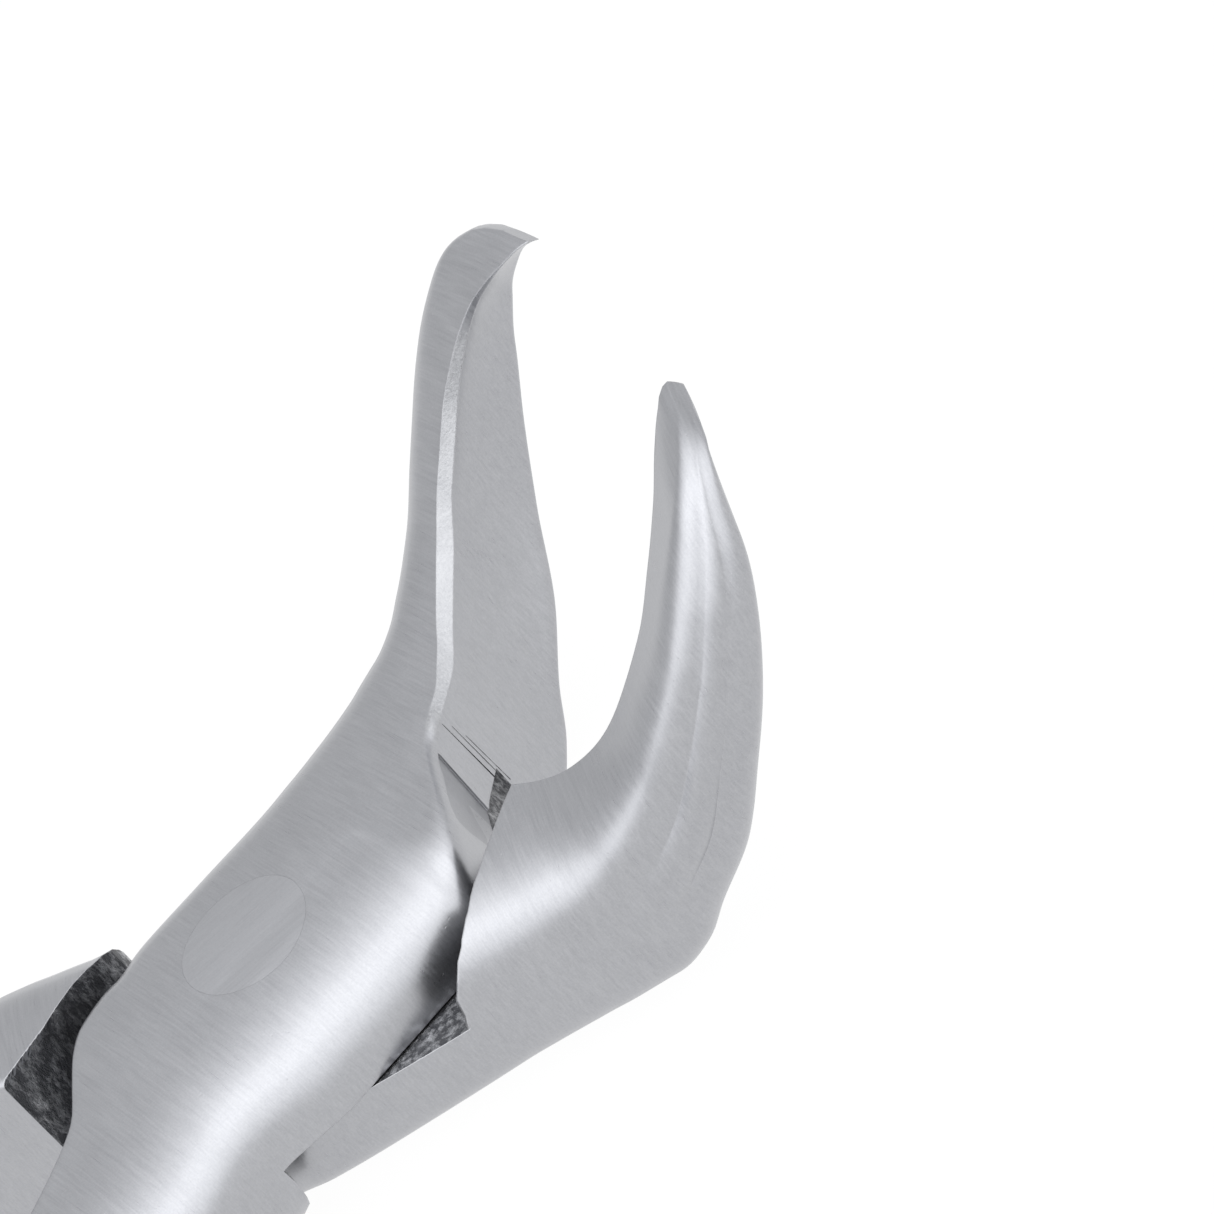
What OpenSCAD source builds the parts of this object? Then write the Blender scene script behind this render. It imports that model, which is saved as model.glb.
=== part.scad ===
// Extraction forceps for lower teeth: two forged halves that cross in a lap joint and turn on
// one flush rivet. X runs forward along the tool, Y across it and Z up the pivot axis.
// Z = 0 is the flat underside of the joint and the handles; the pivot stands on the origin.

/* [Pose] */
// Angle between the two halves as drawn, in degrees
open_angle = 25; // [0:1:28]

/* [Joint] */
// Half the height of the joint: each half's lap is this thick
lap_h = 4.6; // [4.4:0.1:4.8]
// Gap between the two mating faces
mate_gap = 0.10; // [0.06:0.02:0.16]
// Diameter of the rivet's flush ends
rivet_head_d = 6; // [5.6:0.1:6.4]
// Diameter of the rivet's shank
rivet_shank_d = 4.4; // [4:0.1:4.8]
// Height of each flush rivet end
rivet_head_h = 1.4; // [1.2:0.1:1.6]
// Clearance of the moving half round the rivet, on the radius
turn_fit = 0.05; // [0.03:0.01:0.08]

/* [Beaks] */
// Distance from the pivot to the tips, along the tool
beak_reach = 29.1; // [28:0.1:30.5]
// Height of the tips above the mating faces
beak_rise = 16.8; // [16:0.1:18]

/* [Handles] */
// Distance from the pivot to the end of a handle
handle_len = 128; // [118:1:136]
// Height of the grips
grip_h = 10; // [9.4:0.1:10.6]

/* [Hidden] */
steel = [0.74, 0.75, 0.78];
rivet_steel = [0.80, 0.81, 0.84];
cut = 40;
cad_steps = 3;
corner_steps = 3;
side_steps = 3;

// Sizes that the section rows below are written for.
row_reach = 29.1;
row_rise = 16.8;
row_handle = 128;
joint_front = 12;
joint_back = -12;
upper_shoulder = 12.65;
lower_shoulder = 13.3;

// One row is one cross-section of a half, from the handle's end to the beak's tip, with the
// mating face at z = 0, the beak on +Y and the handle on -Y:
// [top x, top z], [bottom x, bottom z], low-Y side [top, bottom], high-Y side [top, bottom],
// corner softness [low top, low bottom, high bottom, high top],
// crown of the faces [low, high, top, bottom],
// extra reach of a soft corner along [low top, high top, low bottom].
t = lap_h;
grip_top = grip_h - t;
handle_rows = [
    [[-128, 2.4], [-128, -2.6], [-10.4, -10.4], [-8.2, -8.2], [1, 1, 1, 1], [0.1, 0.1, 0.1, 0.1], [1, 1, 1]],
    [[-127.2, 3.9], [-127.2, -4.0], [-11.4, -11.4], [-7.2, -7.2], [1.8, 1.8, 1.8, 1.8], [0, 0, 0, 0], [1, 1, 1]],
    [[-125.0, 4.9], [-125.0, -t], [-12.0, -12.0], [-6.6, -6.6], [2.0, 2.0, 1.6, 1.6], [0.3, 0, 0, 0.1], [1, 1, 1]],
    [[-118.0, grip_top], [-118.0, -t], [-12.2, -12.2], [-6.6, -6.6], [2, 2, 1, 1], [0.4, 0, 0, 0.1], [1, 1, 1]],
    [[-100.0, grip_top], [-100.0, -t], [-13.2, -13.2], [-7.8, -7.8], [2, 2, 1, 1], [0.4, 0, 0, 0.1], [1, 1, 1]],
    [[-82.0, grip_top], [-82.0, -t], [-14.6, -14.6], [-9.4, -9.4], [2, 2, 1, 1], [0.4, 0, 0, 0.1], [1, 1, 1]],
    [[-64.0, grip_top], [-64.0, -t], [-15.2, -15.2], [-10.0, -10.0], [2, 2, 1, 1], [0.4, 0, 0, 0.1], [1, 1, 1]],
    [[-48.0, 5.2], [-48.0, -t], [-14.4, -14.4], [-9.0, -9.0], [2, 2, 1, 1], [0.4, 0, 0, 0.1], [1, 1, 1]],
    [[-34.0, 4.9], [-34.0, -t], [-12.4, -12.4], [-6.8, -6.8], [2.4, 2.4, 1, 1], [0.3, 0, 0, 0.1], [1, 1, 1]],
    [[-22.0, t], [-22.0, -t], [-10.2, -10.2], [-3.8, -3.8], [3.2, 3, 0.8, 0.8], [0.2, 0, 0, 0.1], [1.3, 1, 1.2]],
    [[-15.0, t], [-15.0, -t], [-9.1, -9.0], [-1.7, -1.7], [4, 3.6, 0.6, 0.6], [0.1, 0, 0, 0.1], [1.4, 1, 1.3]],
    [[-12.0, t], [-12.0, -t], [-8.7, -8.4], [-0.4, -0.4], [4.2, 3.8, 0.5, 0.5], [0.1, 0, 0, 0.1], [1.4, 1, 1.3]]
];
joint_rows = [
    [[-10.6, t], [-10.6, -t], [-8.4, -7.8], [0.5, 0.4], [4.2, 4, 0.5, 0.5], [0, 0, 0, 0.1], [1.4, 1, 1.3]],
    [[-9.3, t], [-9.3, -t], [-8.1, -7.2], [2.2, 2.0], [4.2, 4, 0.5, 0.5], [0, 0, 0.05, 0.1], [1.5, 1, 1.3]],
    [[-8.2, t], [-8.2, -t], [-7.8, -6.6], [3.7, 3.5], [4.2, 4, 0.5, 0.6], [0, 0, 0.05, 0.1], [1.5, 1, 1.3]],
    [[-7.2, t], [-7.2, -t], [-7.5, -6.2], [4.7, 4.5], [4.2, 4, 0.6, 0.9], [0, 0, 0.1, 0.1], [1.5, 1, 1.3]],
    [[-6.2, t], [-6.2, -t], [-7.4, -6.1], [5.3, 5.1], [4.2, 4, 0.8, 1.4], [0, 0, 0.1, 0.1], [1.5, 1, 1.3]],
    [[-5.2, t], [-5.2, -t], [-7.4, -6.4], [5.8, 5.6], [4.2, 4, 1.2, 2.0], [0, 0, 0.1, 0.1], [1.5, 1, 1.3]],
    [[-4.2, t], [-4.2, -t], [-7.4, -6.8], [6.2, 6.0], [4.2, 4, 1.8, 2.8], [0, 0, 0.1, 0.1], [1.5, 1, 1.3]],
    [[-2.6, t], [-2.6, -t], [-7.4, -7.4], [6.7, 6.8], [4.2, 4, 2.6, 3], [0, 0.1, 0.1, 0.1], [1.5, 1.1, 1.3]],
    [[1.0, t], [1.0, -t], [-7.4, -7.4], [7.0, 7.2], [4.2, 4, 2.9, 3.4], [0, 0.1, 0.1, 0.1], [1.5, 1.2, 1.3]],
    [[6.0, t], [6.0, -t], [-7.4, -7.4], [7.5, 7.4], [4.2, 4, 3.1, 4], [0, 0.1, 0.1, 0.1], [1.5, 1.3, 1.3]],
    [[6.5, t], [6.5, -t], [-7.3, -7.3], [7.55, 7.4], [3.6, 3, 3.1, 4], [0, 0.1, 0.1, 0.1], [1.4, 1.3, 1.2]],
    [[7.2, t], [7.2, -t], [-6.9, -6.9], [7.6, 7.4], [2.4, 1.6, 3.1, 4], [0, 0.1, 0.1, 0.1], [1.3, 1.3, 1]],
    [[8.9, t], [8.9, -t], [-4.8, -4.6], [7.8, 7.5], [1.2, 0.6, 3.1, 4], [0, 0.1, 0.1, 0.1], [1.1, 1.3, 1]],
    [[11.2, t], [11.2, -t], [-0.7, -0.8], [8.1, 7.7], [0.8, 0.4, 3.1, 3.8], [0, 0.1, 0.1, 0.1], [1, 1.3, 1]]
];
beak_rows = [
    [[12.0, t], [12.6, -t], [0.1, 0.4], [8.25, 7.8], [0.5, 0.4, 3.0, 3.6], [0, 0.1, 0.05, 0.1], [1, 1.3, 1]],
    [[13.2, 4.6], [14.7, -t], [1.05, 1.9], [8.5, 7.9], [0.4, 0.5, 3.0, 3.4], [-0.1, 0.1, 0, 0.05], [1, 1.3, 1]],
    [[14.6, 4.9], [16.5, -3.8], [2.1, 3.05], [8.75, 8.2], [0.6, 0.5, 2.95, 3.2], [-0.2, 0.2, 0, 0], [1, 1.3, 1]],
    [[15.9, 5.5], [18.1, -2.2], [3.2, 4.0], [9.05, 8.5], [0.6, 0.5, 2.85, 3.0], [-0.4, 0.3, 0, 0], [1, 1.3, 1]],
    [[18.1, 6.9], [20.7, 0.4], [4.5, 5.0], [9.25, 9.1], [0.6, 0.5, 2.55, 2.6], [-0.5, 0.4, 0, 0], [1, 1.2, 1]],
    [[20.2, 8.8], [23.0, 3.8], [5.2, 5.95], [9.35, 9.65], [0.5, 0.4, 2.2, 2.1], [-0.5, 0.3, 0, 0], [1, 1.2, 1]],
    [[22.2, 10.8], [25.1, 7.1], [5.3, 6.3], [9.25, 9.95], [0.5, 0.4, 1.85, 1.7], [-0.4, 0.2, 0, 0], [1, 1.2, 1]],
    [[24.1, 12.9], [26.9, 10.3], [4.8, 6.1], [8.8, 9.55], [0.4, 0.3, 1.5, 1.4], [-0.3, 0.1, 0, 0], [1, 1.2, 1]],
    [[25.7, 14.6], [28.0, 12.8], [3.9, 5.2], [8.0, 8.6], [0.3, 0.3, 1.15, 1.15], [-0.2, 0.1, 0, 0], [1, 1.1, 1]],
    [[26.9, 15.8], [28.5, 14.7], [2.6, 3.6], [7.0, 7.2], [0.2, 0.2, 0.8, 0.85], [-0.1, 0.05, 0.05, 0.05], [1, 1, 1]],
    [[27.8, 16.5], [28.9, 15.9], [1.6, 2.2], [5.6, 5.6], [0.15, 0.15, 0.52, 0.55], [0, 0.05, 0.05, 0.05], [1, 1, 1]],
    [[28.35, 16.8], [29.1, 16.25], [1.05, 1.4], [4.25, 4.2], [0.12, 0.12, 0.38, 0.4], [0.03, 0.03, 0.03, 0.03], [1, 1, 1]],
    [[28.6, 16.8], [29.1, 16.35], [0.95, 1.1], [3.1, 3.05], [0.1, 0.1, 0.25, 0.28], [0.03, 0.03, 0.03, 0.03], [1, 1, 1]]
];

// Stretches a row's beak or handle to the driving sizes.
function beak_x(x) = joint_front + (x - joint_front) * (beak_reach - joint_front) / (row_reach - joint_front);
function handle_x(x) = joint_back + (x - joint_back) * (handle_len + joint_back) / (row_handle + joint_back);
function fit_x(x) = x > joint_front ? beak_x(x) : x < joint_back ? handle_x(x) : x;
function fit_z(x, z) = x > joint_front && z > t ? t + (z - t) * (beak_rise - t) / (row_rise - t) : z;
function fit_point(p) = [fit_x(p[0]), fit_z(p[0], p[1])];
function flat_row(r) = concat(fit_point(r[0]), fit_point(r[1]), r[2], r[3], r[4], r[5], r[6]);
rows = [for (r = concat(handle_rows, joint_rows, beak_rows)) flat_row(r)];
last = len(rows) - 1;

// Smooth curve through every column of the rows that never overshoots them.
function row_gap(i) = norm([rows[i + 1][0] + rows[i + 1][2] - rows[i][0] - rows[i][2],
                            rows[i + 1][1] + rows[i + 1][3] - rows[i][1] - rows[i][3]]) / 2;
function slope(i, c) = (rows[i + 1][c] - rows[i][c]) / row_gap(i);
function blend_slope(a, b, ga, gb) = a * b <= 0 ? 0 : 3 * (ga + gb) / ((2 * gb + ga) / a + (gb + 2 * ga) / b);
function tangent(i, c) =
    i == 0 ? slope(0, c) :
    i == last ? slope(last - 1, c) :
    blend_slope(slope(i - 1, c), slope(i, c), row_gap(i - 1), row_gap(i));
function cubic(a, b, ta, tb, g, u) =
    a * (1 + 2 * u) * pow(1 - u, 2) + ta * g * u * pow(1 - u, 2)
    + b * u * u * (3 - 2 * u) - tb * g * u * u * (1 - u);
function row_at(i, u) = [for (c = [0:len(rows[0]) - 1])
    cubic(rows[i][c], rows[i + 1][c], tangent(i, c), tangent(i + 1, c), row_gap(i), u)];
function steps_in(i) = row_gap(i) < 0.9 ? 1 : cad_steps;
sections = concat([for (i = [0:last - 1]) for (k = [0:steps_in(i) - 1]) row_at(i, k / steps_in(i))],
                  [rows[last]]);

// Outline of one section in its own plane: [across, up], rounded at its four corners.
function unit(v) = v / norm(v);
function corner_point(a, c, b, legs, u) =
    let (from = c + unit(a - c) * legs[0], to = c + unit(b - c) * legs[1])
    from * pow(1 - u, 2) + c * 2 * u * (1 - u) + to * u * u;
function side_point(a, b, ra, rb, crown, u) =
    let (d = unit(b - a), from = a + d * ra, to = b - d * rb)
    from * (1 - u) + to * u + [-d[1], d[0]] * crown * 4 * u * (1 - u);
function section_2d(s) =
    let (h = norm([s[0] - s[2], s[1] - s[3]]),
         q = [[s[5], 0], [s[4], h], [s[6], h], [s[7], 0]],
         legs = [[s[9] * s[18], s[9]], [s[8], s[8] * s[16]], [s[11] * s[17], s[11]], [s[10], s[10]]],
         crown = [s[12], s[14], s[13], s[15]])
    [for (k = [0:3]) each concat(
        [for (j = [0:corner_steps])
            corner_point(q[(k + 3) % 4], q[k], q[(k + 1) % 4], legs[k], j / corner_steps)],
        [for (j = [1:side_steps - 1])
            side_point(q[k], q[(k + 1) % 4], legs[k][1], legs[(k + 1) % 4][0], crown[k], j / side_steps)])];
function place(s, p) =
    let (h = norm([s[0] - s[2], s[1] - s[3]]), f = p[1] / h)
    [s[2] + (s[0] - s[2]) * f, p[0], s[3] + (s[1] - s[3]) * f];

// The whole forging of one half, before the lap is cut: a skin over all the sections.
module forging() {
    rings = [for (s = sections) [for (p = section_2d(s)) place(s, p)]];
    m = len(rings[0]);
    n = len(rings);
    sides = [for (i = [0:n - 2]) for (j = [0:m - 1])
        each [[i * m + j, i * m + (j + 1) % m, (i + 1) * m + j],
              [i * m + (j + 1) % m, (i + 1) * m + (j + 1) % m, (i + 1) * m + j]]];
    ends = [[for (j = [m - 1:-1:0]) j], [for (j = [0:m - 1]) (n - 1) * m + j]];
    polyhedron([for (r = rings) each r], concat(sides, ends));
}

// Plan of the space that one half leaves for the other half's lap; front is where the
// shoulder under or over the beak begins.
module lap_plan(front) {
    polygon([
        [16, -3.6], [front, 1.0], [(front + 11.65) / 2, 2.05], [11.65, 3.2], [10.4, 4.9], [9.4, 6.0],
        [8.4, 6.8], [7.4, 7.3], [6.3, 7.6], [6, 13], [-6, 13], [-17, 3.0],
        [-12.7, -0.4], [-9.9, -2.3], [-8.8, -3.4], [-7.8, -4.4], [-7.0, -5.1],
        [-6.5, -5.8], [-6.4, -6.6], [-7, -8], [-9, -13], [9, -13]
    ]);
}

// Cuts the lap: below the mating face for the upper half, above it for the lower one.
module lapped(side) {
    difference() {
        children();
        translate([0, 0, side > 0 ? mate_gap / 2 - cut : -mate_gap / 2])
            linear_extrude(cut)
                lap_plan(side > 0 ? upper_shoulder : lower_shoulder);
        translate([-200, -50, -t - cut])
            cube([250, 100, cut]);
    }
}

// Bore for the rivet; fit is the clearance on the radius.
module rivet_bore(fit, head_z, head_h) {
    translate([0, 0, -cut / 2])
        cylinder(h = cut, d = rivet_shank_d + 2 * fit, $fn = 64);
    translate([0, 0, head_z])
        cylinder(h = head_h, d = rivet_head_d + 2 * fit, $fn = 64);
}

module upper_half() {
    color(steel)
        rotate([0, 0, open_angle / 2])
            translate([0, 0, t])
                difference() {
                    lapped(1)
                        forging();
                    rivet_bore(turn_fit, t - rivet_head_h - turn_fit, 5);
                }
}

module lower_half() {
    color(steel)
        rotate([0, 0, -open_angle / 2])
            translate([0, 0, t])
                difference() {
                    mirror([0, 1, 0])
                        lapped(-1)
                            forging();
                    rivet_bore(0, -t - 5 + rivet_head_h, 5);
                }
}

module pivot_rivet() {
    color(rivet_steel) {
        cylinder(h = rivet_head_h, d = rivet_head_d, $fn = 64);
        cylinder(h = 2 * t - 0.1, d = rivet_shank_d, $fn = 64);
        translate([0, 0, 2 * t - rivet_head_h])
            cylinder(h = rivet_head_h - 0.02, d = rivet_head_d, $fn = 64);
    }
}

upper_half();
lower_half();
pivot_rivet();
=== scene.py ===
"""Looks of the extraction forceps: two forged halves that cross in a lap joint on a flush rivet.

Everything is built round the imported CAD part, in its frame: X forward to the beak tips, Y across,
Z up the pivot axis, metres. Shapes are written in millimetres in a half's own frame, where the
mating face is z = 0, the beak lies on +Y and the handle on -Y, and are scaled once at the end.
"""

import math

import bmesh
import bpy
import numpy as np
from mathutils import Matrix, Vector
from mathutils.bvhtree import BVHTree


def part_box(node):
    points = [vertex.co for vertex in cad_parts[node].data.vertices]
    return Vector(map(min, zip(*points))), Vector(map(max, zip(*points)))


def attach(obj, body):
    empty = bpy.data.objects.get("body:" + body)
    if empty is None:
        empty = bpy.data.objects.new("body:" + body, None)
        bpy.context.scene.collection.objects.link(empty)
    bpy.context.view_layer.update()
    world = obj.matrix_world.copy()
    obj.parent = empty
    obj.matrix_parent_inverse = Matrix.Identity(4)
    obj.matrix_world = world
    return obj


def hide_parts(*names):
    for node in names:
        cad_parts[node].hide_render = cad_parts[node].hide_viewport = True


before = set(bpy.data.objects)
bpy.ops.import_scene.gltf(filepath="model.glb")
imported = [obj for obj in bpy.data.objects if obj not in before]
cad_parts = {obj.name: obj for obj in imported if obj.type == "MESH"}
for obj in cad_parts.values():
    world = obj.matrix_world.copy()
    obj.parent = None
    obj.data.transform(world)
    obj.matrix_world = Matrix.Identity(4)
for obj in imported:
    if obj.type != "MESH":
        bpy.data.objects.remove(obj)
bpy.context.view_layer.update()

MM = 0.001

# Sizes shared with the CAD part, in millimetres. LAP is the height of one half at the joint, read
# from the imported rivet, whose upper end lies a little under the height of both.
RIVET_SINK = 0.02
LAP = round((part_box("pivot_rivet")[1].z / MM + RIVET_SINK) / 2, 2)
MATE_GAP = 0.10
REST_ANGLE = 25 / 2
HEAD_R = 3.0
SHANK_R = 2.2
HEAD_H = 1.4
TURN_FIT = 0.05
GRIP_TOP = 10 - LAP
SEAT_LINE = 0.006

# One row is one cross-section of a half, from the handle's end to the beak's tip. Its first line
# places it: [top x, z], [bottom x, z], low-Y side [top, bottom], high-Y side [top, bottom]. Its
# second line shapes it: corner softness [low top, low bottom, high bottom, high top], crown
# [low, high, top, bottom], and how much further a soft corner reaches along the top [low, high]
# and bottom [low] face.
T = LAP
G = GRIP_TOP
HANDLE_ROWS = [
    [[-128.0, 2.4], [-128.0, -2.6], [-10.4, -10.4], [-8.2, -8.2],
     [1, 1, 1, 1], [0.1, 0.1, 0.1, 0.1], [1, 1, 1]],
    [[-127.2, 3.9], [-127.2, -4.0], [-11.4, -11.4], [-7.2, -7.2],
     [1.8, 1.8, 1.8, 1.8], [0, 0, 0, 0], [1, 1, 1]],
    [[-125.0, 4.9], [-125.0, -T], [-12.0, -12.0], [-6.6, -6.6],
     [2.0, 2.0, 1.6, 1.6], [0.3, 0, 0, 0.1], [1, 1, 1]],
    [[-118.0, G], [-118.0, -T], [-12.2, -12.2], [-6.6, -6.6],
     [2, 2, 1, 1], [0.4, 0, 0, 0.1], [1, 1, 1]],
    [[-100.0, G], [-100.0, -T], [-13.2, -13.2], [-7.8, -7.8],
     [2, 2, 1, 1], [0.4, 0, 0, 0.1], [1, 1, 1]],
    [[-82.0, G], [-82.0, -T], [-14.6, -14.6], [-9.4, -9.4],
     [2, 2, 1, 1], [0.4, 0, 0, 0.1], [1, 1, 1]],
    [[-64.0, G], [-64.0, -T], [-15.2, -15.2], [-10.0, -10.0],
     [2, 2, 1, 1], [0.4, 0, 0, 0.1], [1, 1, 1]],
    [[-48.0, 5.2], [-48.0, -T], [-14.4, -14.4], [-9.0, -9.0],
     [2, 2, 1, 1], [0.4, 0, 0, 0.1], [1, 1, 1]],
    [[-34.0, 4.9], [-34.0, -T], [-12.4, -12.4], [-6.8, -6.8],
     [2.4, 2.4, 1, 1], [0.3, 0, 0, 0.1], [1, 1, 1]],
    [[-22.0, T], [-22.0, -T], [-10.2, -10.2], [-3.8, -3.8],
     [3.2, 3, 0.8, 0.8], [0.2, 0, 0, 0.1], [1.3, 1, 1.2]],
    [[-15.0, T], [-15.0, -T], [-9.1, -9.0], [-1.7, -1.7],
     [4, 3.6, 0.6, 0.6], [0.1, 0, 0, 0.1], [1.4, 1, 1.3]],
    [[-12.0, T], [-12.0, -T], [-8.7, -8.4], [-0.4, -0.4],
     [4.2, 3.8, 0.5, 0.5], [0.1, 0, 0, 0.1], [1.4, 1, 1.3]],
]
JOINT_ROWS = [
    [[-10.6, T], [-10.6, -T], [-8.4, -7.8], [0.5, 0.4],
     [4.2, 4, 0.5, 0.5], [0, 0, 0, 0.1], [1.4, 1, 1.3]],
    [[-9.3, T], [-9.3, -T], [-8.1, -7.2], [2.2, 2.0],
     [4.2, 4, 0.5, 0.5], [0, 0, 0.05, 0.1], [1.5, 1, 1.3]],
    [[-8.2, T], [-8.2, -T], [-7.8, -6.6], [3.7, 3.5],
     [4.2, 4, 0.5, 0.6], [0, 0, 0.05, 0.1], [1.5, 1, 1.3]],
    [[-7.2, T], [-7.2, -T], [-7.5, -6.2], [4.7, 4.5],
     [4.2, 4, 0.6, 0.9], [0, 0, 0.1, 0.1], [1.5, 1, 1.3]],
    [[-6.2, T], [-6.2, -T], [-7.4, -6.1], [5.3, 5.1],
     [4.2, 4, 0.8, 1.4], [0, 0, 0.1, 0.1], [1.5, 1, 1.3]],
    [[-5.2, T], [-5.2, -T], [-7.4, -6.4], [5.8, 5.6],
     [4.2, 4, 1.2, 2.0], [0, 0, 0.1, 0.1], [1.5, 1, 1.3]],
    [[-4.2, T], [-4.2, -T], [-7.4, -6.8], [6.2, 6.0],
     [4.2, 4, 1.8, 2.8], [0, 0, 0.1, 0.1], [1.5, 1, 1.3]],
    [[-2.6, T], [-2.6, -T], [-7.4, -7.4], [6.7, 6.8],
     [4.2, 4, 2.6, 3], [0, 0.1, 0.1, 0.1], [1.5, 1.1, 1.3]],
    [[1.0, T], [1.0, -T], [-7.4, -7.4], [7.0, 7.2],
     [4.2, 4, 2.9, 3.4], [0, 0.1, 0.1, 0.1], [1.5, 1.2, 1.3]],
    [[6.0, T], [6.0, -T], [-7.4, -7.4], [7.5, 7.4],
     [4.2, 4, 3.1, 4], [0, 0.1, 0.1, 0.1], [1.5, 1.3, 1.3]],
    [[6.5, T], [6.5, -T], [-7.3, -7.3], [7.55, 7.4],
     [3.6, 3, 3.1, 4], [0, 0.1, 0.1, 0.1], [1.4, 1.3, 1.2]],
    [[7.2, T], [7.2, -T], [-6.9, -6.9], [7.6, 7.4],
     [2.4, 1.6, 3.1, 4], [0, 0.1, 0.1, 0.1], [1.3, 1.3, 1]],
    [[8.9, T], [8.9, -T], [-4.8, -4.6], [7.8, 7.5],
     [1.2, 0.6, 3.1, 4], [0, 0.1, 0.1, 0.1], [1.1, 1.3, 1]],
    [[11.2, T], [11.2, -T], [-0.7, -0.8], [8.1, 7.7],
     [0.8, 0.4, 3.1, 3.8], [0, 0.1, 0.1, 0.1], [1, 1.3, 1]],
]
BEAK_ROWS = [
    [[12.0, T], [12.6, -T], [0.1, 0.4], [8.25, 7.8],
     [0.5, 0.4, 3.0, 3.6], [0, 0.1, 0.05, 0.1], [1, 1.3, 1]],
    [[13.2, 4.6], [14.7, -T], [1.05, 1.9], [8.5, 7.9],
     [0.4, 0.5, 3.0, 3.4], [-0.1, 0.1, 0, 0.05], [1, 1.3, 1]],
    [[14.6, 4.9], [16.5, -3.8], [2.1, 3.05], [8.75, 8.2],
     [0.6, 0.5, 2.95, 3.2], [-0.2, 0.2, 0, 0], [1, 1.3, 1]],
    [[15.9, 5.5], [18.1, -2.2], [3.2, 4.0], [9.05, 8.5],
     [0.6, 0.5, 2.85, 3.0], [-0.4, 0.3, 0, 0], [1, 1.3, 1]],
    [[18.1, 6.9], [20.7, 0.4], [4.5, 5.0], [9.25, 9.1],
     [0.6, 0.5, 2.55, 2.6], [-0.5, 0.4, 0, 0], [1, 1.2, 1]],
    [[20.2, 8.8], [23.0, 3.8], [5.2, 5.95], [9.35, 9.65],
     [0.5, 0.4, 2.2, 2.1], [-0.5, 0.3, 0, 0], [1, 1.2, 1]],
    [[22.2, 10.8], [25.1, 7.1], [5.3, 6.3], [9.25, 9.95],
     [0.5, 0.4, 1.85, 1.7], [-0.4, 0.2, 0, 0], [1, 1.2, 1]],
    [[24.1, 12.9], [26.9, 10.3], [4.8, 6.1], [8.8, 9.55],
     [0.4, 0.3, 1.5, 1.4], [-0.3, 0.1, 0, 0], [1, 1.2, 1]],
    [[25.7, 14.6], [28.0, 12.8], [3.9, 5.2], [8.0, 8.6],
     [0.3, 0.3, 1.15, 1.15], [-0.2, 0.1, 0, 0], [1, 1.1, 1]],
    [[26.9, 15.8], [28.5, 14.7], [2.6, 3.6], [7.0, 7.2],
     [0.2, 0.2, 0.8, 0.85], [-0.1, 0.05, 0.05, 0.05], [1, 1, 1]],
    [[27.8, 16.5], [28.9, 15.9], [1.6, 2.2], [5.6, 5.6],
     [0.15, 0.15, 0.52, 0.55], [0, 0.05, 0.05, 0.05], [1, 1, 1]],
    [[28.35, 16.8], [29.1, 16.25], [1.05, 1.4], [4.25, 4.2],
     [0.12, 0.12, 0.38, 0.4], [0.03, 0.03, 0.03, 0.03], [1, 1, 1]],
    [[28.6, 16.8], [29.1, 16.35], [0.95, 1.1], [3.1, 3.05],
     [0.1, 0.1, 0.25, 0.28], [0.03, 0.03, 0.03, 0.03], [1, 1, 1]],
]

# Plan of the space that one half leaves for the other half's lap, behind its front edge.
UPPER_SHOULDER, LOWER_SHOULDER = 12.65, 13.3
LAP_PLAN = [
    (11.65, 3.2), (10.4, 4.9), (9.4, 6.0), (8.4, 6.8),
    (7.4, 7.3), (6.3, 7.6), (6, 13), (-6, 13), (-17, 3.0),
    (-12.7, -0.4), (-9.9, -2.3), (-8.8, -3.4), (-7.8, -4.4), (-7.0, -5.1), (-6.5, -5.8), (-6.4, -6.6),
    (-7, -8), (-9, -13), (9, -13),
]

# Mesh fineness, in millimetres, steps and degrees.
FINE_GAP = 0.3
FINE_FROM = -20
HANDLE_GAP = 0.9
GRIP_GAP = 0.4
CORNER_STEPS = 9
SIDE_STEPS = 16
CORNER_POINTS = CORNER_STEPS + 1
RING_POINTS = 4 * (CORNER_POINTS + SIDE_STEPS - 1)
TURN_STEPS = 128
RIVET_RINGS = 12
HALF_SHARP = 28
RIVET_SHARP = 30

# Stretch of the inner rim that carries a ground chamfer, and how it fades in and out.
RIM_START = 12.0
RIM_END = 27.4
RIM_BLEND = 0.8
RIM_LEAD = 0.2

# Cross-cut grips on the outer face of the handle.
GRIP_BACK = -116.0
GRIP_FRONT = -52.0
GRIP_MARGIN = 2
GRIP_FADE = 3
GRIP_PITCH = 1.6
GRIP_DEPTH = 0.22

# Material slots of a half.
SKIN, RIM, WALL, BORE, FACE = 0, 1, 2, 3, 4

# A distance well outside the joint, for cutters that go right through it.
FAR = 30.0

# The thin bevel on the lower half's shoulder, and how far forward on the wall it starts.
BEVEL = 0.3
BEVEL_START = 6.2

# The milled facet on the front of the upper lap: a point on it, the direction along it in plan,
# its two ends along that direction, its depth, and the heights that its cutter reaches.
FACET_POINT, FACET_ALONG = (10.75, -1.4), (0.466, 0.885)
FACET_ENDS = (-7.0, 0.7)
FACET_DEPTH = 0.03
CUT_BOTTOM, FACET_TOP = -1, 4.0

# The slit at the facet's foot and two scores beside it, which lean and narrow towards the top:
# a point on their wall and the direction along it, then the place, width, depth and top of each.
SLIT_POINT, SLIT_ALONG = (12.3, 0.57), (0.625, 0.781)
SLIT_LEAN = 0.2
SLIT_TOP_WIDTH = 0.03
SLIT_TOP_DEPTH = 0.4
SLITS = [(0.0, 0.1, 0.35, 4.0), (0.36, 0.06, 0.1, 3.4), (0.62, 0.05, 0.07, 2.4)]

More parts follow.
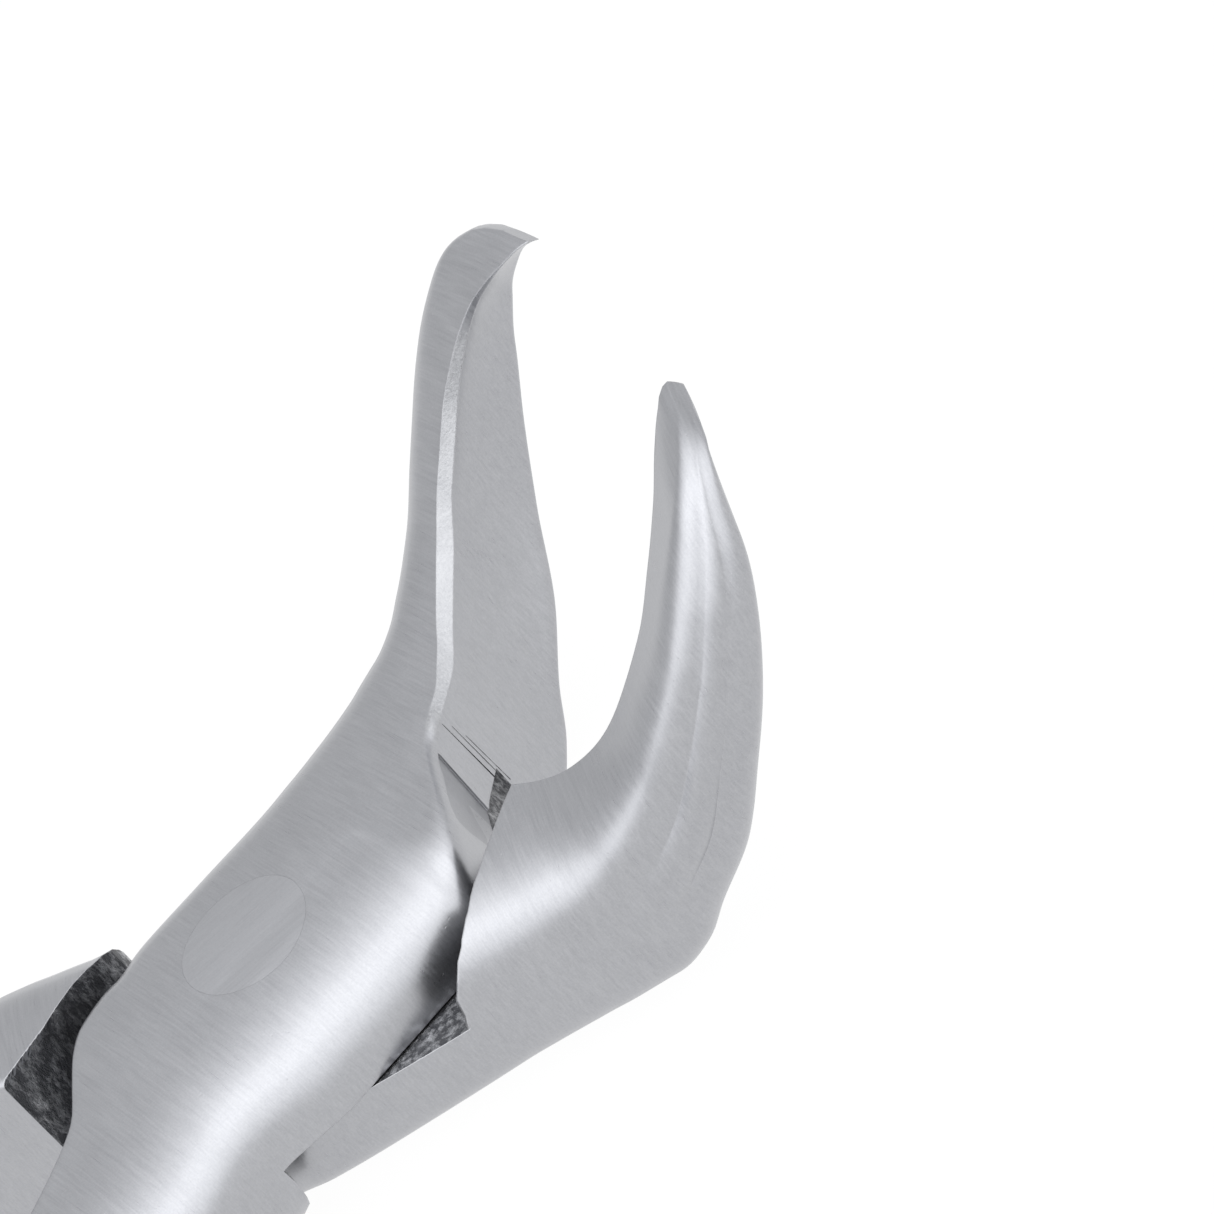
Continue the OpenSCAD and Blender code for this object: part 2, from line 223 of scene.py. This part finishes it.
# Round the rivet no edge is softened inside the first of these radii, and all are outside the second.
SHARP_ZONE = (3.3, 3.5)

# The floor just under the tool, in metres, and how brightly it shines.
FLOOR_Z = -0.0002
FLOOR_REACH = 6.0
FLOOR_GLOW = 0.97

# Brightness of the studio by angle over the tool, in degrees: 0 is the far side's horizon, 90
# straight up and 180 the near side's horizon. The dip is the seam between two soft boxes.
STUDIO = [
    (0, 0.74), (36, 0.80), (52, 0.92), (68, 1.2), (84, 1.62), (98, 1.92), (108, 1.95), (111.5, 1.62),
    (115, 1.95), (135, 1.95), (155, 1.8), (170, 1.4), (180, 1.05),
]

# The key light: its angle over +Y and its width, in degrees, and its radiance.
KEY_LIGHT = (118, 34, 0.35)

# The camera, in degrees and millimetres, and how far its axis passes right of and above the pivot.
CAMERA_AZIMUTH = -1.3
CAMERA_ELEVATION = 35.91
CAMERA_ROLL = 40.05
CAMERA_DISTANCE = 261.6
CAMERA_ASIDE = (15.08, 13.64)
LENS = 186.7


# ---- cross-sections ----------------------------------------------------------------------


def rows_table():
    """All rows as one array of 19 columns."""
    return np.array([sum(row, []) for row in HANDLE_ROWS + JOINT_ROWS + BEAK_ROWS], float)


def station_gap(x):
    """Distance between cross-sections of the mesh at x."""
    if x > FINE_FROM:
        return FINE_GAP
    if GRIP_BACK - GRIP_MARGIN < x < GRIP_FRONT + GRIP_MARGIN:
        return GRIP_GAP
    return HANDLE_GAP


def row_tangents(rows, gaps):
    """Slopes of a smooth curve through the rows that never overshoots them."""
    slopes = (rows[1:] - rows[:-1]) / gaps[:, None]
    tangents = np.zeros_like(rows)
    tangents[0], tangents[-1] = slopes[0], slopes[-1]
    before, after = slopes[:-1], slopes[1:]
    gap_a, gap_b = gaps[:-1, None], gaps[1:, None]
    same = before * after > 0
    safe_a = np.where(same, before, 1)
    safe_b = np.where(same, after, 1)
    blend = 3 * (gap_a + gap_b) / ((2 * gap_b + gap_a) / safe_a + (gap_b + 2 * gap_a) / safe_b)
    tangents[1:-1] = np.where(same, blend, 0)
    return tangents


def stations():
    """Closely spaced cross-sections along the whole half."""
    rows = rows_table()
    middle = (rows[:, 0:2] + rows[:, 2:4]) / 2
    gaps = np.linalg.norm(middle[1:] - middle[:-1], axis=1)
    tangents = row_tangents(rows, gaps)
    out = []
    for i, gap in enumerate(gaps):
        steps = max(1, round(gap / station_gap(rows[i, 0])))
        for k in range(steps):
            u = k / steps
            out.append(
                rows[i] * (1 + 2 * u) * (1 - u) ** 2
                + tangents[i] * gap * u * (1 - u) ** 2
                + rows[i + 1] * u * u * (3 - 2 * u)
                - tangents[i + 1] * gap * u * u * (1 - u)
            )
    out.append(rows[-1])
    return np.array(out)


def smooth_step(x, start, end):
    u = min(1.0, max(0.0, (x - start) / (end - start)))
    return u * u * (3 - 2 * u)


def unit(v):
    return v / np.linalg.norm(v)


def corner(a, c, b, legs, facet):
    """Points round corner c: a soft curve, or a straight chamfer where facet is 1."""
    start, end = c + unit(a - c) * legs[0], c + unit(b - c) * legs[1]
    u = np.linspace(0, 1, CORNER_STEPS + 1)[:, None]
    curve = start * (1 - u) ** 2 + c * 2 * u * (1 - u) + end * u * u
    return curve * (1 - facet) + (start * (1 - u) + end * u) * facet


def side(a, b, ra, rb, crown):
    """Points along a crowned side, without its ends."""
    d = unit(b - a)
    start, end = a + d * ra, b - d * rb
    u = np.linspace(0, 1, SIDE_STEPS + 1)[1:-1, None]
    return start * (1 - u) + end * u + np.array([-d[1], d[0]]) * crown * 4 * u * (1 - u)


def ring(s):
    """One cross-section as points in the half's own frame. Corner order: low bottom, low top,
    high top, high bottom."""
    height = math.hypot(s[0] - s[2], s[1] - s[3])
    corners = [np.array(p) for p in [(s[5], 0), (s[4], height), (s[6], height), (s[7], 0)]]
    # Reach of each corner along the side before it and the side after it.
    legs = [(s[9] * s[18], s[9]), (s[8], s[8] * s[16]), (s[11] * s[17], s[11]), (s[10], s[10])]
    crowns = [s[12], s[14], s[13], s[15]]
    rim = smooth_step(s[0], RIM_START, RIM_START + RIM_BLEND)
    rim *= 1 - smooth_step(s[0], RIM_END - RIM_BLEND, RIM_END)
    facets = [0, rim, 0, 0]
    flat = []
    for k in range(4):
        a, c, b = corners[k - 1], corners[k], corners[(k + 1) % 4]
        flat.append(corner(a, c, b, legs[k], facets[k]))
        flat.append(side(c, b, legs[k][1], legs[(k + 1) % 4][0], crowns[k]))
    flat = np.concatenate(flat)
    f = flat[:, 1] / height
    points = np.stack([s[2] + (s[0] - s[2]) * f, flat[:, 0], s[3] + (s[1] - s[3]) * f], axis=1)
    points[:, 2] = np.maximum(points[:, 2], -LAP)
    return points


def cut_grip(rings):
    """Presses a diamond pattern of grooves into the outer face of the handle."""
    first = CORNER_POINTS - 1
    last = CORNER_POINTS + SIDE_STEPS - 1
    for points in rings:
        x = points[0, 0]
        if not GRIP_BACK < x < GRIP_FRONT:
            continue
        fade = min(1.0, (x - GRIP_BACK) / GRIP_FADE, (GRIP_FRONT - x) / GRIP_FADE)
        for j in range(first + 1, last):
            z = points[j, 2]
            edge = min(1.0, (j - first) / 2, (last - j) / 2)
            u = (x + z) / GRIP_PITCH
            w = (x - z) / GRIP_PITCH
            near = min(abs(u - round(u)), abs(w - round(w))) * 2
            points[j, 1] += GRIP_DEPTH * fade * edge * max(0.0, 1 - near * 2)
    return rings


def skin(name, mirrored):
    """The whole forging of one half, closed at both ends. The chamfered rim is a second slot."""
    rings = cut_grip([ring(s) for s in stations()])
    count, size = len(rings), RING_POINTS
    points = np.concatenate(rings)
    if mirrored:
        points[:, 1] *= -1
    faces, slots = [], []
    for i in range(count - 1):
        x = rings[i][0, 0]
        for j in range(size):
            k = (j + 1) % size
            faces.append((i * size + j, i * size + k, (i + 1) * size + k, (i + 1) * size + j))
            in_rim = CORNER_POINTS + SIDE_STEPS - 1 <= j < 2 * CORNER_POINTS + SIDE_STEPS - 2
            slots.append(RIM if in_rim and RIM_START - RIM_LEAD < x < RIM_END else SKIN)
    faces.append(tuple(range(size - 1, -1, -1)))
    faces.append(tuple((count - 1) * size + j for j in range(size)))
    slots += [SKIN, SKIN]
    if mirrored:
        faces = [tuple(reversed(f)) for f in faces]
    mesh = bpy.data.meshes.new(name)
    mesh.from_pydata(points.tolist(), [], faces)
    mesh.polygons.foreach_set("material_index", slots)
    return add_object(name, mesh)


def add_object(name, mesh):
    obj = bpy.data.objects.new(name, mesh)
    bpy.context.scene.collection.objects.link(obj)
    return obj


# ---- cutters -----------------------------------------------------------------------------


def prism(name, plan, z0, z1, slot, top_plan=None):
    """An upright prism over a plan outline, or between two outlines, in one material slot."""
    top_plan = top_plan or plan
    area = sum(a[0] * b[1] - b[0] * a[1] for a, b in zip(plan, plan[1:] + plan[:1]))
    if area < 0:
        plan, top_plan = plan[::-1], top_plan[::-1]
    n = len(plan)
    points = [(x, y, z0) for x, y in plan] + [(x, y, z1) for x, y in top_plan]
    faces = [tuple(range(n - 1, -1, -1)), tuple(range(n, 2 * n))]
    faces += [(j, (j + 1) % n, n + (j + 1) % n, n + j) for j in range(n)]
    mesh = bpy.data.meshes.new(name)
    mesh.from_pydata(points, [], faces)
    mesh.polygons.foreach_set("material_index", [slot] * len(faces))
    return add_object(name, mesh)


def lathe(name, profile, slot=SKIN):
    """A closed turned solid from [radius, z] points that start and end on the axis."""
    steps = TURN_STEPS
    points, faces = [(0, 0, profile[0][1])], []
    inner = profile[1:-1]
    for r, z in inner:
        for k in range(steps):
            a = 2 * math.pi * k / steps
            points.append((r * math.cos(a), r * math.sin(a), z))
    points.append((0, 0, profile[-1][1]))
    top = len(points) - 1
    for k in range(steps):
        n = (k + 1) % steps
        faces.append((0, 1 + n, 1 + k))
        for i in range(len(inner) - 1):
            a, b = 1 + i * steps, 1 + (i + 1) * steps
            faces.append((a + k, a + n, b + n, b + k))
        a = 1 + (len(inner) - 1) * steps
        faces.append((a + k, a + n, top))
    mesh = bpy.data.meshes.new(name)
    mesh.from_pydata(points, [], faces)
    mesh.polygons.foreach_set("material_index", [slot] * len(faces))
    return add_object(name, mesh)


def carve(obj, cutters):
    """Takes the cutters out of obj for good."""
    for cutter in cutters:
        modifier = obj.modifiers.new("cut", "BOOLEAN")
        modifier.operation = "DIFFERENCE"
        modifier.solver = "EXACT"
        modifier.material_mode = "INDEX"
        modifier.object = cutter
    graph = bpy.context.evaluated_depsgraph_get()
    result = bpy.data.meshes.new_from_object(obj.evaluated_get(graph))
    obj.modifiers.clear()
    old = obj.data
    obj.data = result
    bpy.data.meshes.remove(old)
    for cutter in cutters:
        bpy.data.objects.remove(cutter)


def tidy_mesh(obj, angle):
    """Joins doubled points, splits large faces into triangles and smooths all but sharp edges."""
    bm = bmesh.new()
    bm.from_mesh(obj.data)
    bmesh.ops.remove_doubles(bm, verts=bm.verts, dist=1e-4)
    bmesh.ops.triangulate(bm, faces=[f for f in bm.faces if len(f.verts) > 4])
    bm.to_mesh(obj.data)
    bm.free()
    obj.data.shade_smooth()
    obj.data.set_sharp_from_angle(angle=math.radians(angle))


# ---- the three pieces --------------------------------------------------------------------


def lap_plan(sign):
    """The plan for one half. The front of the space runs up to that half's own shoulder."""
    front = UPPER_SHOULDER if sign > 0 else LOWER_SHOULDER
    return [(16, -3.6), (front, 1.0), ((front + LAP_PLAN[0][0]) / 2, 2.05)] + LAP_PLAN


def cut_outline(point, along, start, end, depth, out=3.0):
    """Plan outline from depth inside a wall to well outside it, between two places along it."""
    point, along = np.array(point), np.array(along)
    outward = np.array([along[1], -along[0]])
    corners = [(start, -depth), (end, -depth), (end, out), (start, out)]
    return [tuple(point + along * a + outward * off) for a, off in corners]


def facet_cutters():
    """The facet itself, the tapered slit that the cutter left at its end, and two scores."""
    facet = cut_outline(FACET_POINT, FACET_ALONG, *FACET_ENDS, FACET_DEPTH)
    yield prism("facet", facet, CUT_BOTTOM, FACET_TOP, FACE)
    for at, wide, deep, height in SLITS:
        low = cut_outline(SLIT_POINT, SLIT_ALONG, at, at + wide, deep)
        lean = at - SLIT_LEAN
        high = cut_outline(SLIT_POINT, SLIT_ALONG, lean, lean + SLIT_TOP_WIDTH, deep * SLIT_TOP_DEPTH)
        yield prism("slit", low, CUT_BOTTOM, height, WALL, high)


def shoulder_bevel():
    """The thin bevel along the front edge of the lower half's shoulder wall."""
    plan = [(x, -y) for x, y in lap_plan(-1)]
    wide = [(x + BEVEL, y) if x > BEVEL_START else (x, y) for x, y in plan]
    return prism("bevel", plan, LAP - BEVEL, LAP + 0.2, FACE, wide)


def make_half(name, sign):
    """One forged half. sign is 1 for the upper half and -1 for the lower one, its mirror."""
    obj = skin(name, sign < 0)
    plan = [(x, sign * y) for x, y in lap_plan(sign)]
    gap = MATE_GAP / 2
    if sign > 0:
        below, above = -FAR, gap
        step_z = LAP - HEAD_H - TURN_FIT
        low_r, high_r = SHANK_R + TURN_FIT, HEAD_R + TURN_FIT
        details = facet_cutters()
    else:
        below, above = -gap, FAR
        step_z = -LAP + HEAD_H
        low_r, high_r = HEAD_R, SHANK_R
        details = [shoulder_bevel()]
    bore = [(0, -FAR), (low_r, -FAR), (low_r, step_z), (high_r, step_z), (high_r, FAR), (0, FAR)]
    carve(obj, [prism("lap", plan, below, above, WALL), lathe("bore", bore, BORE), *details])
    tidy_mesh(obj, HALF_SHARP)
    place = Matrix.Scale(MM, 4) @ Matrix.Translation((0, 0, LAP)) @ Matrix.Rotation(
        math.radians(sign * REST_ANGLE), 4, "Z"
    )
    obj.data.transform(place)
    return obj


def make_rivet():
    """The rivet, its ends ground flush: the top follows the face of the half over it."""
    low_r, high_r = HEAD_R - SEAT_LINE, HEAD_R + TURN_FIT - SEAT_LINE
    head_z = 2 * LAP - HEAD_H
    outline = [(0, 0), (low_r, 0), (low_r, HEAD_H), (SHANK_R, HEAD_H)]
    outline += [(SHANK_R, head_z), (high_r, head_z)]
    outline += [(high_r * k / RIVET_RINGS, 2 * LAP) for k in range(RIVET_RINGS, -1, -1)]
    obj = lathe("rivet", outline)
    over = skin("face_over_rivet", mirrored=False)
    over.data.transform(Matrix.Translation((0, 0, LAP)) @ Matrix.Rotation(math.radians(REST_ANGLE), 4, "Z"))
    corners = [vertex.co.copy() for vertex in over.data.vertices]
    tree = BVHTree.FromPolygons(corners, [tuple(face.vertices) for face in over.data.polygons])
    bpy.data.objects.remove(over)
    above, down = Vector((0, 0, LAP)), Vector((0, 0, -1))
    for vertex in obj.data.vertices:
        if vertex.co.z > head_z + HEAD_H / 2:
            place, _, _, _ = tree.ray_cast(vertex.co + above, down)
            vertex.co.z = place.z
    tidy_mesh(obj, RIVET_SHARP)
    obj.data.transform(Matrix.Scale(MM, 4))
    return obj


# ---- materials ---------------------------------------------------------------------------


class Nodes:
    """Short way to write a node tree."""

    def __init__(self, name):
        self.material = bpy.data.materials.new(name)
        self.material.use_nodes = True
        self.tree = self.material.node_tree
        self.tree.nodes.clear()
        self.out = self.add("ShaderNodeOutputMaterial")
        self.shader = self.add("ShaderNodeBsdfPrincipled")
        self.link(self.shader.outputs[0], self.out.inputs[0])

    def add(self, kind, **settings):
        node = self.tree.nodes.new(kind)
        for key, value in settings.items():
            setattr(node, key, value)
        return node

    def link(self, a, b):
        self.tree.links.new(a, b)

    def points(self, turn=0.0, stretch=(1, 1, 1)):
        """Object coordinates in millimetres, turned about Z and then stretched."""
        where = self.add("ShaderNodeTexCoord").outputs["Object"]
        turned = self.add("ShaderNodeMapping")
        turned.inputs["Rotation"].default_value = (0, 0, math.radians(turn))
        self.link(where, turned.inputs["Vector"])
        scaled = self.add("ShaderNodeMapping")
        scaled.inputs["Scale"].default_value = [s / MM for s in stretch]
        self.link(turned.outputs[0], scaled.inputs["Vector"])
        return scaled.outputs[0]

    def noise(self, points, scale, detail=2.0, rough=0.5):
        node = self.add("ShaderNodeTexNoise")
        node.inputs["Scale"].default_value = scale
        node.inputs["Detail"].default_value = detail
        node.inputs["Roughness"].default_value = rough
        self.link(points, node.inputs["Vector"])
        return node.outputs["Fac"]

    def spread(self, value, low, high, to_low, to_high):
        """Maps low..high to to_low..to_high, clamped."""
        node = self.add("ShaderNodeMapRange")
        for key, number in zip(("From Min", "From Max", "To Min", "To Max"), (low, high, to_low, to_high)):
            node.inputs[key].default_value = number
        self.link(value, node.inputs["Value"])
        return node.outputs[0]

    def math(self, operation, a, b):
        node = self.add("ShaderNodeMath", operation=operation)
        for socket, item in zip(node.inputs, (a, b)):
            if isinstance(item, (int, float)):
                socket.default_value = item
            else:
                self.link(item, socket)
        return node.outputs[0]

    def tint(self, factor, dark, light):
        node = self.add("ShaderNodeValToRGB")
        node.color_ramp.elements[0].color = (*dark, 1)
        node.color_ramp.elements[1].color = (*light, 1)
        self.link(factor, node.inputs[0])
        return node.outputs[0]

    def bump(self, height, strength, depth, normal=None):
        node = self.add("ShaderNodeBump")
        node.inputs["Strength"].default_value = strength
        node.inputs["Distance"].default_value = depth * MM
        self.link(height, node.inputs["Height"])
        if normal is not None:
            self.link(normal, node.inputs["Normal"])
        return node.outputs[0]

    def soft_edges(self, radius):
        """Slightly broken edges, but none round the rivet, which is ground flush."""
        node = self.add("ShaderNodeBevel", samples=6)
        node.inputs["Radius"].default_value = radius * MM
        flat = self.add("ShaderNodeVectorMath", operation="MULTIPLY")
        flat.inputs[1].default_value = (1, 1, 0)
        self.link(self.add("ShaderNodeTexCoord").outputs["Object"], flat.inputs[0])
        reach = self.add("ShaderNodeVectorMath", operation="LENGTH")
        self.link(flat.outputs[0], reach.inputs[0])
        away = self.spread(reach.outputs["Value"], SHARP_ZONE[0] * MM, SHARP_ZONE[1] * MM, 0, 1)
        mix = self.add("ShaderNodeMix", data_type="VECTOR")
        self.link(away, mix.inputs["Factor"])
        self.link(self.add("ShaderNodeNewGeometry").outputs["Normal"], mix.inputs[4])
        self.link(node.outputs[0], mix.inputs[5])
        return mix.outputs[1]

    def painted_edge_highlight(self, normal):
        """Painted highlight along the sharp edges: one where the softened normal leaves the face's own,
        used to lighten the colour there.
        """
        turn = self.add("ShaderNodeVectorMath", operation="DOT_PRODUCT")
        self.link(normal, turn.inputs[0])
        self.link(self.add("ShaderNodeNewGeometry").outputs["Normal"], turn.inputs[1])
        return self.spread(turn.outputs["Value"], 0.99, 0.86, 0, 1)


def satin_steel(
    name, turn, dark=(0.385, 0.39, 0.41), light=(0.51, 0.515, 0.535), rough=(0.27, 0.37)
):
    """Stainless steel with fine grinding lines across the tool, small pits, light wear in the roughness and
    a painted highlight along the sharp edges.
    """
    n = Nodes(name)
    across = n.noise(n.points(turn, (8.0, 0.3, 1.2)), 1.0, 3, 0.6)
    fine = n.noise(n.points(turn, (20.0, 0.7, 3.0)), 1.0, 2, 0.5)
    cloud = n.noise(n.points(turn), 0.25, 2, 0.5)
    pits = n.noise(n.points(turn), 5.0, 2, 0.6)
    grain = n.noise(n.points(turn), 12.0, 1, 0.5)
    mixed = n.math("ADD", n.math("MULTIPLY", across, 0.6), n.math("MULTIPLY", fine, 0.4))
    shade = n.math("ADD", n.math("MULTIPLY", mixed, 0.6), n.math("MULTIPLY", grain, 0.25))
    shade = n.math("ADD", shade, n.math("MULTIPLY", cloud, 0.15))
    soft = n.soft_edges(0.09)
    # Painted highlight: the colour is lightened along the sharp edges.
    tone = n.math("ADD", n.spread(shade, 0.38, 0.62, 0, 0.6), n.math("MULTIPLY", n.painted_edge_highlight(soft), 0.7))
    n.link(n.tint(tone, dark, light), n.shader.inputs["Base Color"])
    worn = n.math("ADD", n.math("MULTIPLY", mixed, 0.75), n.math("MULTIPLY", cloud, 0.25))
    n.link(n.spread(worn, 0.35, 0.65, *rough), n.shader.inputs["Roughness"])
    n.shader.inputs["Metallic"].default_value = 1.0
    normal = n.bump(mixed, 0.3, 0.02, soft)
    normal = n.bump(grain, 0.16, 0.012, normal)
    normal = n.bump(n.spread(pits, 0.7, 0.78, 1, 0), 0.4, 0.02, normal)
    n.link(normal, n.shader.inputs["Normal"])
    return n.material


def ground_rim(name, turn):
    """The granular chamfer along the inner rim of a beak."""
    n = Nodes(name)
    grain = n.noise(n.points(turn), 7.0, 3, 0.7)
    cloud = n.noise(n.points(turn), 0.8, 2, 0.5)
    shade = n.math("ADD", n.math("MULTIPLY", grain, 0.7), n.math("MULTIPLY", cloud, 0.3))
    tone = n.tint(n.spread(shade, 0.35, 0.65, 0, 1), (0.36, 0.365, 0.38), (0.5, 0.505, 0.52))
    n.link(tone, n.shader.inputs["Base Color"])
    n.link(n.spread(grain, 0.3, 0.7, 0.38, 0.55), n.shader.inputs["Roughness"])
    n.shader.inputs["Metallic"].default_value = 1.0
    n.link(n.bump(grain, 0.6, 0.04, n.soft_edges(0.08)), n.shader.inputs["Normal"])
    return n.material


def coarse_wall_in_painted_shade(name, turn):
    """Walls of the lap joint: coarse grinding marks with bright torn flecks, on a near-black colour that is
    painted shade of the recesses.
    """
    n = Nodes(name)
    marks = n.noise(n.points(turn, (2.2, 2.2, 0.9)), 1.0, 4, 0.65)
    chips = n.noise(n.points(turn, (3.5, 3.5, 1.6)), 1.0, 5, 0.75)
    both = n.math("ADD", n.math("MULTIPLY", marks, 0.45), n.math("MULTIPLY", chips, 0.55))
    # Painted shade: the dark end of this colour stands for the shade inside the joint's recesses and slits.
    tone = n.tint(n.spread(both, 0.47, 0.66, 0, 1), (0.11, 0.112, 0.12), (0.6, 0.605, 0.62))
    n.link(tone, n.shader.inputs["Base Color"])
    n.link(n.spread(both, 0.4, 0.65, 0.45, 0.25), n.shader.inputs["Roughness"])
    n.shader.inputs["Metallic"].default_value = 1.0
    n.link(n.bump(both, 0.9, 0.14, n.soft_edges(0.06)), n.shader.inputs["Normal"])
    return n.material


def paint_half(obj, turn):
    """Gives a half its five materials, in the order of the material slots."""
    for material in (
        satin_steel(obj.name + "_satin", turn),
        ground_rim(obj.name + "_rim", turn),
        coarse_wall_in_painted_shade(obj.name + "_wall", turn),
        satin_steel(obj.name + "_bore", turn),
        # The milled facet and the shoulder bevel: a darker copy of the satin steel, painted shade.
        satin_steel(obj.name + "_face", turn, dark=(0.3, 0.305, 0.325), light=(0.43, 0.435, 0.455)),
    ):
        obj.data.materials.append(material)


# ---- stage, light and camera -------------------------------------------------------------


def make_floor():
    """A plain pale floor that the tool lies on."""
    mesh = bpy.data.meshes.new("floor")
    r = FLOOR_REACH
    mesh.from_pydata([(-r, -r, 0), (r, -r, 0), (r, r, 0), (-r, r, 0)], [], [(0, 1, 2, 3)])
    floor = add_object("floor", mesh)
    floor.location.z = FLOOR_Z
    n = Nodes("floor_paper")
    n.shader.inputs["Base Color"].default_value = (0.03, 0.03, 0.03, 1)
    n.shader.inputs["Roughness"].default_value = 0.9
    n.shader.inputs["Specular IOR Level"].default_value = 0.0
    n.shader.inputs["Emission Color"].default_value = (1, 1, 1, 1)
    n.shader.inputs["Emission Strength"].default_value = FLOOR_GLOW
    mesh.materials.append(n.material)


def make_light():
    """Soft studio light: a pale room with two long soft boxes overhead, and one soft key light."""
    world = bpy.data.worlds.new("studio")
    world.use_nodes = True
    tree = world.node_tree
    where = tree.nodes.new("ShaderNodeTexCoord")
    parts = tree.nodes.new("ShaderNodeSeparateXYZ")
    angle = tree.nodes.new("ShaderNodeMath")
    angle.operation = "ARCTAN2"
    share = tree.nodes.new("ShaderNodeMath")
    share.operation = "DIVIDE"
    share.inputs[1].default_value = math.pi
    ramp = tree.nodes.new("ShaderNodeValToRGB")
    ramp.color_ramp.interpolation = "B_SPLINE"
    peak = max(light for _, light in STUDIO)
    stops = ramp.color_ramp.elements
    while len(stops) < len(STUDIO):
        stops.new(0.5)
    for stop, (degrees, light) in zip(stops, STUDIO):
        stop.position = degrees / 180
        stop.color = (light / peak * 0.985, light / peak * 0.99, light / peak, 1)
    back = tree.nodes["Background"]
    back.inputs["Strength"].default_value = peak
    tree.links.new(where.outputs["Generated"], parts.inputs[0])
    tree.links.new(parts.outputs["Z"], angle.inputs[0])
    tree.links.new(parts.outputs["Y"], angle.inputs[1])
    tree.links.new(angle.outputs[0], share.inputs[0])
    tree.links.new(share.outputs[0], ramp.inputs[0])
    tree.links.new(ramp.outputs[0], back.inputs["Color"])
    bpy.context.scene.world = world
    soft_box("key", *KEY_LIGHT)


def soft_box(name, elevation, width, radiance):
    """A long soft box above the tool. Elevation is its angle over +Y, and width its angle."""
    distance, length = 0.9, 1.6
    light = bpy.data.lights.new(name, "AREA")
    light.shape = "RECTANGLE"
    light.size = length
    light.size_y = 2 * distance * math.tan(math.radians(width / 2))
    light.energy = radiance * math.pi * light.size * light.size_y
    obj = bpy.data.objects.new(name, light)
    bpy.context.scene.collection.objects.link(obj)
    angle = math.radians(elevation)
    obj.location = Vector((0, math.cos(angle), math.sin(angle))) * distance
    obj.rotation_euler = (angle - math.pi / 2, 0, 0)


def make_camera():
    """The camera: its view direction, its roll, and how far its axis passes from the pivot."""
    a, e, roll = (math.radians(v) for v in (CAMERA_AZIMUTH, CAMERA_ELEVATION, CAMERA_ROLL))
    back = Vector((math.sin(a) * math.cos(e), -math.cos(a) * math.cos(e), math.sin(e)))
    level = Vector((math.cos(a), math.sin(a), 0))
    up = back.cross(level)
    right = level * math.cos(roll) - up * math.sin(roll)
    top = level * math.sin(roll) + up * math.cos(roll)
    data = bpy.data.cameras.new("camera")
    data.sensor_width = 36
    data.lens = LENS
    data.clip_start, data.clip_end = 0.01, 10
    obj = bpy.data.objects.new("camera", data)
    bpy.context.scene.collection.objects.link(obj)
    centre = Vector((0, 0, 2 * LAP)) + back * CAMERA_DISTANCE
    centre += right * CAMERA_ASIDE[0] + top * CAMERA_ASIDE[1]
    axes = Matrix((right, top, back)).transposed().to_4x4()
    obj.matrix_world = Matrix.Translation(centre * MM) @ axes
    bpy.context.scene.camera = obj


# ---- build -------------------------------------------------------------------------------

upper = make_half("upper_forging", 1)
lower = make_half("lower_forging", -1)
rivet = make_rivet()
paint_half(upper, -REST_ANGLE)
paint_half(lower, REST_ANGLE)
rivet_satin = satin_steel(
    "rivet_satin", 90, dark=(0.41, 0.415, 0.435), light=(0.5, 0.505, 0.525), rough=(0.32, 0.42)
)
rivet.data.materials.append(rivet_satin)

for piece, body, node, slot in (
    (upper, "upper_body", "upper_half", "satin_steel"),
    (lower, "lower_body", "lower_half", "satin_steel"),
    (rivet, "lower_body", "pivot_rivet", "rivet_steel"),
):
    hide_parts(node)
    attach(piece, body)

make_floor()
make_light()
make_camera()
bpy.context.scene.view_settings.view_transform = "Standard"
